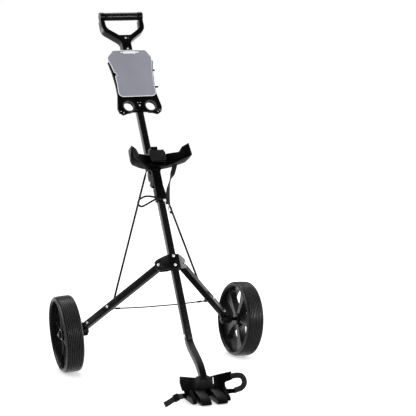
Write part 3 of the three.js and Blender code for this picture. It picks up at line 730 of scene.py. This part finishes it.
def rest_of_frame():
    tube("main_tube", MAST, 0, MAST_LENGTH)
    stem()
    refine("stem_insert", PLASTIC, 0.5, 1)
    refine("hub_bracket_front", PAINT, 0.9, 3, angle=20)
    refine("hub_bracket_rear", PAINT, 0.9, 3, angle=20)
    refine("handle_clevis", PLASTIC, 0.7, 2)
    for side, leg in LEGS.items():
        tube(f"leg_tube_{side}", leg, -LEG_LENGTH, HALF)
        refine(f"leg_cap_{side}", PLASTIC, 0.8, 3)


# ---------------------------------------------------------------- braces
def brace_wire(bm, start, end):
    """Round wire, pinched to a flat at each end."""
    along = (end - start).normalized()
    length = (end - start).length
    x = (Vector((1, 0, 0)) - along * along.x).normalized()
    y = along.cross(x)
    stations = [(4.6, 1.9, 3.6), (8, 2.0, 3.8), (13, 2.5, 3.6), (19, 3.2, 3.4), (26, 3.5, 3.5)]
    stations += [(length - t, w, h) for t, w, h in reversed(stations)]
    rings = []
    for t, w, h in stations:
        centre = start + along * t
        rings.append([centre + x * (w * u) + y * (h * v) for u, v in circle(1, 24)])
    loft(bm, rings)


def brace(side, s):
    """A wire brace: a pierced eye at the handle, and a closed eye with a bolt head at the leg."""
    top = at(HANDLE, s * ROD_PIN_X, 0, ROD_PIN)
    low = at(LEGS[side], -ROD_OFFSET, 0, -LEG_BOLT)
    bm = bmesh.new()
    brace_wire(bm, top.translation / MM, low.translation / MM)
    eye = [(-2.2, 4.1), (-2.2, 6.0), (-1.7, 6.5), (1.7, 6.5), (2.2, 6.0), (2.2, 4.1), (1.8, 3.8),
           (-1.8, 3.8), (-2.2, 4.1)]
    spin(bm, eye, 36, top)
    disc = [(-5.2, 0), (-5.1, 2.6), (-4.4, 4.1), (-3.4, 4.6), (-2.2, 4.6), (-2.2, 6.0), (-1.7, 6.5),
            (1.7, 6.5), (2.2, 6.0), (2.2, 0)]
    spin(bm, disc, 36, low)
    weld(bm)
    node = f"rod_{side}"
    piece(node + "_wire", to_mesh(bm, node, 50), PAINT, node, [node])


def braces():
    for side, s in SIDES:
        brace(side, s)


# ---------------------------------------------------------------- wheels
def tyre_profile():
    """Ribbed tread between round shoulders."""
    w = WHEEL_W / 2
    shoulder = [(-w, RIM_R + 0.3), (-w - 0.1, 117.6), (-w + 0.5, 119.8), (-w + 2, 121.8),
                (-w + 4.4, 123.2)]
    rib_count = 8
    shoulder_width = 6
    pitch = (2 * w - 2 * shoulder_width) / rib_count
    ribs = []
    for k in range(rib_count):
        x = -w + shoulder_width + k * pitch
        crown = WHEEL_R - 1.1 * (abs(x + pitch / 2) / w) ** 2
        ribs += [(x + across * pitch, crown - drop)
                 for across, drop in ((0.07, 2.6), (0.2, 0.5), (0.36, 0), (0.64, 0), (0.8, 0.5),
                                      (0.93, 2.6))]
    mirror = [(-x, r) for x, r in reversed(shoulder)]
    return shoulder + ribs + mirror + [(-w, RIM_R + 0.3)]


def rim_profile():
    """A thin barrel with a rolled lip at each edge."""
    w = WHEEL_W / 2
    lip = [(w - 1, RIM_R), (w + 1.3, RIM_R), (w + 1.8, RIM_R - 0.8), (w + 1.8, RIM_R - 2),
           (w + 1.3, RIM_R - 2.8), (w - 2, RIM_R - 3.4), (w - 3.4, RIM_R - 5.4),
           (w - 8, RIM_R - 6.4), (4, RIM_R - 7.8)]
    mirror = [(-x, r) for x, r in reversed(lip)]
    return mirror + lip + mirror[:1]


def hub_profile():
    return [(-20, 6.4), (-20, 17), (-18.5, 19.5), (-12, 20.8), (12, 20.8), (18.5, 19.5), (20, 17),
            (20, 13.2), (15, 13.2), (15, 6.4), (-20, 6.4)]


def spoke(bm, angle, place):
    """A channel spoke: two side walls with a dished web between them, flaring to the barrel."""
    stations = [(17, 8.5, 14, 4), (32, 8.5, 13, 5), (54, 10, 12, 6), (76, 13.5, 11.5, 7),
                (94, 19, 11.5, 7.5), (104, 25, 12, 7.5), (109.5, 29, 12.5, 7.5)]
    wall = 3.2
    web = 4.6
    rings = []
    for r, half, high, dish in stations:
        ring = [(-high, -half), (-high, half), (high, half), (high, half - wall),
                (high - dish, half - web), (high - dish, -half + web), (high, -half + wall),
                (high, -half)]
        rings.append([(x, y, r) for x, y in ring])
    loft(bm, rings, place=place @ Matrix.Rotation(angle, 4, "X"))


def rim(side, place):
    bm = bmesh.new()
    spin(bm, rim_profile(), 120, place)
    spin(bm, hub_profile(), 64, place)
    for k in range(SPOKES):
        spoke(bm, 2 * math.pi * (k + 0.25) / SPOKES, place)
    weld(bm)
    moulding = piece(f"rim_{side}_moulding", to_mesh(bm, "rim", 32), RIM, f"wheel_{side}",
                     [f"rim_{side}"])
    soften = moulding.modifiers.new("soften", "BEVEL")
    soften.width = 0.0009
    soften.segments = 2
    soften.limit_method = "ANGLE"
    soften.angle_limit = math.radians(40)


def hub_cap(side, place):
    cap = [(20.8, 0), (20.8, 12.4), (22.6, 12.6), (25, 11.2), (26.6, 8.4), (27.4, 4.5), (27.6, 0)]
    turned(f"hub_cap_{side}_dome", cap, PLASTIC, f"wheel_{side}", place, [f"hub_cap_{side}"])
    stud = [(27.0, 3.6), (28.0, 3.4), (28.4, 2.4), (28.5, 0)]
    turned(f"hub_cap_{side}_stud", stud, STEEL, f"wheel_{side}", place, (), 24)


def axle(side, place):
    """The axle bar, from the inner end that CAD gives it, with a flange near that end."""
    cad = NODES[f"axle_{side}"].data
    near = min((place.inverted() @ v.co).x for v in cad.vertices) / MM
    bar = [(near, 0), (near, 6), (near + 1, 7.6), (near + 4.4, 8.8), (near + 5, 8.4), (near + 5, 6),
           (19.4, 6), (20, 5.4), (20, 0)]
    turned(f"axle_{side}_bar", bar, PAINT, f"leg_{side}", place, [f"axle_{side}"])


def wheels():
    for side, place in WHEELS.items():
        turned(f"tyre_{side}_tread", tyre_profile(), FOAM, f"wheel_{side}", place,
               [f"tyre_{side}"], 144, 28)
        rim(side, place)
        hub_cap(side, place)
        refine(f"axle_block_{side}", PLASTIC, 1.0, 2)
        axle(side, place)


# ---------------------------------------------------------------- handle
def handle_bar():
    nose_radius = 12.3
    nose = [(z, 2 * min(HALF, math.sqrt(nose_radius ** 2 - z * z))) for z in range(-11, -4)]
    tube("handle_tube", HANDLE, -11, HANDLE_TOP, nose)
    refine("handle_yoke", YOKE, 1.6, 4, angle=25)
    grip = [(-61.2, 0), (-61.2, 11.8), (-60.6, 13), (-59, 13.7), (-40, 13.9), (0, 14),
            (40, 13.9), (59, 13.7), (60.6, 13), (61.2, 11.8), (61.2, 0)]
    turned("handle_grip_bar", grip, RUBBER, "handle", at(HANDLE, 0, -GRIP_FORWARD, GRIP + 2),
           ["handle_grip"], 96)


def console_head(name, x, z, r, h):
    """A small bright domed head on the console's front."""
    place = at(HANDLE, x, CONSOLE_FRONT - SCREW_SEAT, z, -90)
    turned(name, [(0, 0)] + dome(0, r, h), BRIGHT, "handle", place, (), 16)


def console():
    refine("console", PLASTIC, 0.9, 3, angle=25)
    refine("pencil_clip", PLASTIC, 0.6, 2)
    for x, z in ((-68, 259), (-60, 254), (60, 254), (68, 259)):
        console_head(f"corner_screw_{x + 68}", x, z, 1.7, 0.8)
    for x in (-5, 0, 5):
        console_head(f"console_stud_{x + 5}", x, 290, 1.1, 0.7)
    collar = [(-1, 16.7), (1.1, 17), (1.7, 17.8), (1.7, 19.6), (1.1, 20.6), (-1, 20.8), (-1, 16.7)]
    # The collars take the yoke's material, so their bright edges are painted highlight arcs round
    # the ring holes.
    for side, s in SIDES:
        turned(f"ring_collar_{side}", collar, YOKE, "handle",
               at(HANDLE, s * 38.2, CONSOLE_FRONT, CONSOLE_Z, -90), (), 64)


def handle():
    handle_bar()
    console()


# ---------------------------------------------------------------- scorecard plate
def bend(a, control, b, steps=8):
    """Points of a quadratic curve from a to b, without a itself."""
    points = []
    for k in range(1, steps + 1):
        t = k / steps
        points.append(tuple((1 - t) ** 2 * a[i] + 2 * t * (1 - t) * control[i] + t * t * b[i]
                            for i in (0, 1)))
    return points


def plate_outline():
    """The plate's outline in X and Z, from the top middle round by the right."""
    right = [(0, 487), (53, 487)]
    right += bend((53, 487), (58, 487), (62, 481))
    right += [(73, 462)] + bend((73, 462), (75, 458), (73, 448))
    right += bend((73, 448), (66, 400), (63.5, 360))
    right += [(65, 330)] + bend((65, 330), (65, 314), (50, 312))
    left = [(-50, 312)] + bend((-50, 312), (-65, 314), (-65, 330))
    left += [(-63.5, 360)] + bend((-63.5, 360), (-63.8, 375), (-65, 388))
    left += [(-66 + 8 * math.cos(a), 396 + 8 * math.sin(a))
             for a in (math.radians(-90 + 180 * k / 10) for k in range(1, 11))]
    left += bend((-66, 404), (-70, 430), (-78, 448)) + bend((-78, 448), (-81, 458), (-79, 462))
    left += [(-62, 481)] + bend((-62, 481), (-58, 487), (-53, 487))
    return right + left


def plate_face():
    bm = bmesh.new()
    loft(bm, [[(x, PLATE_FRONT + y, z) for x, z in plate_outline()] for y in (0, 2)], place=HANDLE)
    split_many_sided(bm)
    piece("scorecard_plate_face", to_mesh(bm, "plate", 40), FROSTED, "plate", ["scorecard_plate"])


def plate_edge():
    """A bead round the plate, for its bright cut edge."""
    path = [Vector((x, PLATE_FRONT + 0.6, z)) for x, z in plate_outline()]
    count = len(path)
    rings = []
    for i, p in enumerate(path):
        tangent = (path[(i + 1) % count] - path[i - 1]).normalized()
        side = Vector((0, 1, 0)).cross(tangent)
        rings.append([p + side * a + Vector((0, b, 0)) for a, b in circle(1.05, 10)])
    rings.append(rings[0])
    bm = bmesh.new()
    loft(bm, rings, caps=False, place=HANDLE)
    weld(bm)
    piece("scorecard_plate_edge", to_mesh(bm, "edge", 60), EDGE, "plate", ())


def score_plate():
    plate_face()
    plate_edge()
    refine("plate_clip_bar", WHITE, 0.7, 3)


# ---------------------------------------------------------------- cradles
def crease_pad():
    """The pad's face is two flats that meet in an upright ridge right of the middle."""
    pad = refine("cradle_pad", PAD, 1.6, 3)
    ridge = 4 * MM
    face_depth = -58 * MM
    to_mast = MAST.inverted()
    bm = bmesh.new()
    bm.from_mesh(pad.data)
    bmesh.ops.bisect_plane(bm, geom=bm.verts[:] + bm.edges[:] + bm.faces[:], dist=1e-6,
                           plane_co=(ridge, 0, 0), plane_no=(1, 0, 0))
    for v in bm.verts:
        p = to_mast @ v.co
        if p.y < face_depth:
            p.y += abs(p.x - ridge) * (0.075 if p.x < ridge else 0.03)
            v.co = MAST @ p
    bm.to_mesh(pad.data)
    bm.free()
    smooth(pad.data, 3)


def cradles():
    refine("upper_cradle", PLASTIC, 1.4, 3, angle=25)
    crease_pad()
    refine("main_tube_cap", PLASTIC, 2.2, 4)
    refine("lower_cradle", PLASTIC, 1.2, 3, angle=25)
    refine("lower_foot", PLASTIC, 1.5, 3, angle=25)


# ---------------------------------------------------------------- straps and the stay cable
def strap(node, route, place, width, thick, wide):
    """Flat webbing along a route; wide holds its width direction at each of the points."""
    path = catmull(route, STRAP_STEPS)
    turn = [v.normalized() for v in catmull(wide, STRAP_STEPS)]
    profile = rounded_square(width, thick, thick * 0.45, 3)
    bm = bmesh.new()
    sweep(bm, profile, path, turn, place)
    mesh = to_mesh(bm, node + "_web", 50)
    lengths = [0.0]
    for a, b in zip(path, path[1:]):
        lengths.append(lengths[-1] + (b - a).length * MM)
    uv = mesh.uv_layers.new(name="UVMap")
    for loop in mesh.loops:
        ring, k = divmod(loop.vertex_index, len(profile))
        uv.data[loop.index].uv = (lengths[min(ring, STRAP_STEPS)], profile[k][0] * MM)
    return piece(node + "_web", mesh, WEB, "frame", [node])


def upper_strap():
    route = [(54, -54, 583.4), (46, -38, 558), (37, -24, 538), (30, -8, 512), (29, 14, 480),
             (30, 17, 473)]
    wide = [(1, -0.3, 0), (0.9, -0.1, 0.1), (0.45, 0.85, 0.3), (0.9, 0.5, 0.1), (1, 0.1, 0),
            (1, 0.1, 0)]
    strap("upper_strap", route, MAST, 16, 2.6, wide)


def strap_loop():
    route = [(-15.2, -6, 489), (-30, -1, 496), (-50, 2, 498), (-70, 4, 488), (-77, 3, 473),
             (-69, 0, 463), (-52, -6, 467), (-34, -13, 474), (-17, -16.6, 480), (1, -17, 476)]
    loop = strap("strap_loop", route, MAST, 7, 6, [(0, 1, 0.2)] * len(route))


def lower_straps():
    right = [(79, -34, -5), (97, -39, -3.5), (112, -39, -7), (119.5, -39, -17), (119.5, -39, -31),
             (110, -39, -42), (87, -39, -48.4)]
    right_wide = [(0, 0.1, 1), (0, 0.05, 1), (0.5, 0, 0.85), (1, 0, 0.25), (1, 0, -0.25),
                  (0.7, 0, -0.75), (0.35, 0, -1)]
    strap("lower_strap_right", right, LOWER, 17, 4, right_wide)
    left = [(-86, -42, -50), (-104, -51, -50), (-120, -56, -56), (-138, -60, -64), (-151, -62, -69)]
    left_wide = [(-0.2, 0, 1), (-0.25, 0, 1), (-0.4, 0, 1), (-0.4, 0, 1), (-0.4, 0, 1)]
    strap("lower_strap_left", left, LOWER, 17, 5, left_wide)


def straps():
    upper_strap()
    strap_loop()
    lower_straps()
    refine("strap_buckle", PLASTIC, 1.2, 3)
    refine("strap_ring", PAINT, 0.3, 1)
    bead = [(-4, 0), (-3.6, 2.2), (-2, 3.9), (0, 4.4), (2, 3.9), (3.6, 2.2), (4, 0)]
    turned("strap_ring_bead", bead, PLASTIC, "frame", at(MAST, 36, 23, 446), (), 24)
    refine("strap_hook", WHITE, 0.9, 3)
    refine("stem_badge", RED, 0.8, 2)


def cable_half(side, middle):
    """Half of the cable, from a leg's bolt to the middle, with its eye and sleeve."""
    leg = f"leg_{side}"
    eye = at(LEGS[side], -HALF - 13.5, 0, -LEG_BOLT)
    start = eye.translation / MM
    y, z = middle
    route = [start, (start.x * 0.78, y, z + 3.4), (start.x * 0.5, y, z + 1.8),
             (start.x * 0.25, y, z + 1), (0, y, z + 1)]
    path = catmull(route, 48)
    bm = bmesh.new()
    sweep(bm, circle(CABLE_R), path, (0, 1, 0))
    half = piece(f"stay_cable_{side}", to_mesh(bm, "stay", 60), RUBBER, None, ["stay_cable"])
    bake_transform(half)
    knob = [(-2.4, 0), (-2.2, 3.4), (-1, 4.6), (1, 4.8), (2.6, 4.2), (3, 0)]
    turned(f"cable_eye_{side}", knob, BRIGHT, leg, eye, (), 24)
    sleeve = bmesh.new()
    sweep(sleeve, circle(CABLE_R + 1.1), path[3:9], (0, 1, 0))
    piece(f"cable_sleeve_{side}", to_mesh(sleeve, "sleeve", 60), PLASTIC, leg)


def stay_cable():
    """The taut cable between the leg bolts, in two halves that ride on no body; each half's eye and
    sleeve ride on its leg.
    """
    low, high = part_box("stay_cable")
    cad_radius = 1.8
    middle = ((low.y + high.y) / 2 / MM, high.z / MM - cad_radius)
    for side in LEGS:
        cable_half(side, middle)


camera()
floor()
surroundings()
lights()
fasteners()
rest_of_frame()
braces()
wheels()
handle()
score_plate()
cradles()
straps()
stay_cable()
